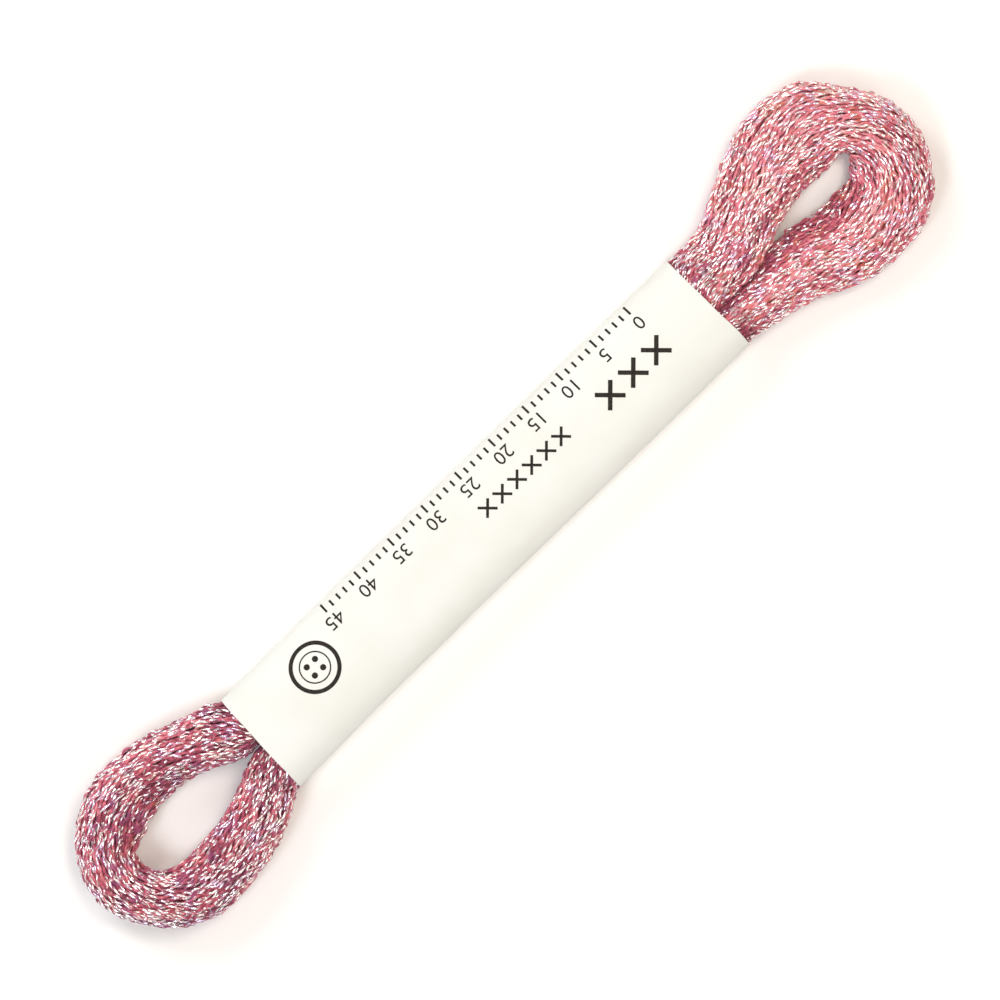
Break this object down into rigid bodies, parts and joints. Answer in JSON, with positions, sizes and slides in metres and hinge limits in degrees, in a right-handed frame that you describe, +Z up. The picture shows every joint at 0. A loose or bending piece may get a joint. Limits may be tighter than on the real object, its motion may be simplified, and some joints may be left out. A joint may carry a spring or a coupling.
{
  "type": "skein of metallic embroidery thread in a paper band",
  "caption": "Pink and silver metallic embroidery thread wound into a flattened hank with a loop at each end, held round its middle by a plain paper band.",
  "frame": {"origin": "on the surface that the skein rests on, under the middle of its length and of its width", "axes": "+X along the skein, towards the wider loop; +Y across it; +Z up, away from the surface"},
  "size_m": [0.1202, 0.0223, 0.0066],
  "materials": {
    "metallic_thread": "plied rose-pink polyester thread with a strip of pearly silver film wound through it",
    "paper": "matte cream-white uncoated paper with plain dark printing"
  },
  "bodies": {
    "root": {"thread_hank": "metallic_thread", "paper_band": "paper"}
  },
  "joints": []
}
